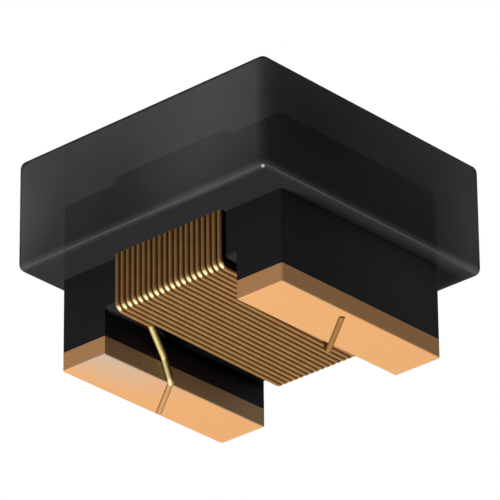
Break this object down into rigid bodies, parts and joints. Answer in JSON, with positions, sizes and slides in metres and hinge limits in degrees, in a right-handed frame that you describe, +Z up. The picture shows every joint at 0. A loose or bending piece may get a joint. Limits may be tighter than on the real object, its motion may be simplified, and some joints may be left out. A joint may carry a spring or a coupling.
{
  "type": "shielded surface-mount inductor",
  "caption": "Shielded surface-mount inductor: a bridge core with one layer of fine wire on its crossbar, two metallised feet, and a moulded cap.",
  "frame": {"origin": "middle of the part at its lowest face, which is the underside of the wire's ends on the terminals", "axes": "+X along the crossbar from the left terminal to the right one, +Y across it, +Z up from the board to the cap's top"},
  "size_m": [0.0038, 0.0038, 0.0026],
  "materials": {
    "ferrite": "fired ferrite, dark grey and matt",
    "enamelled_wire": "copper wire under clear amber enamel, glossy",
    "terminal_metal": "fine-grained metallised layer, satin, pale copper-gold",
    "moulded_resin": "moulded dark resin filled with magnetic powder, satin, slightly translucent"
  },
  "bodies": {
    "root": {"core": "ferrite", "winding": "enamelled_wire", "terminal_left": "terminal_metal", "terminal_right": "terminal_metal", "cap": "moulded_resin"}
  },
  "joints": []
}
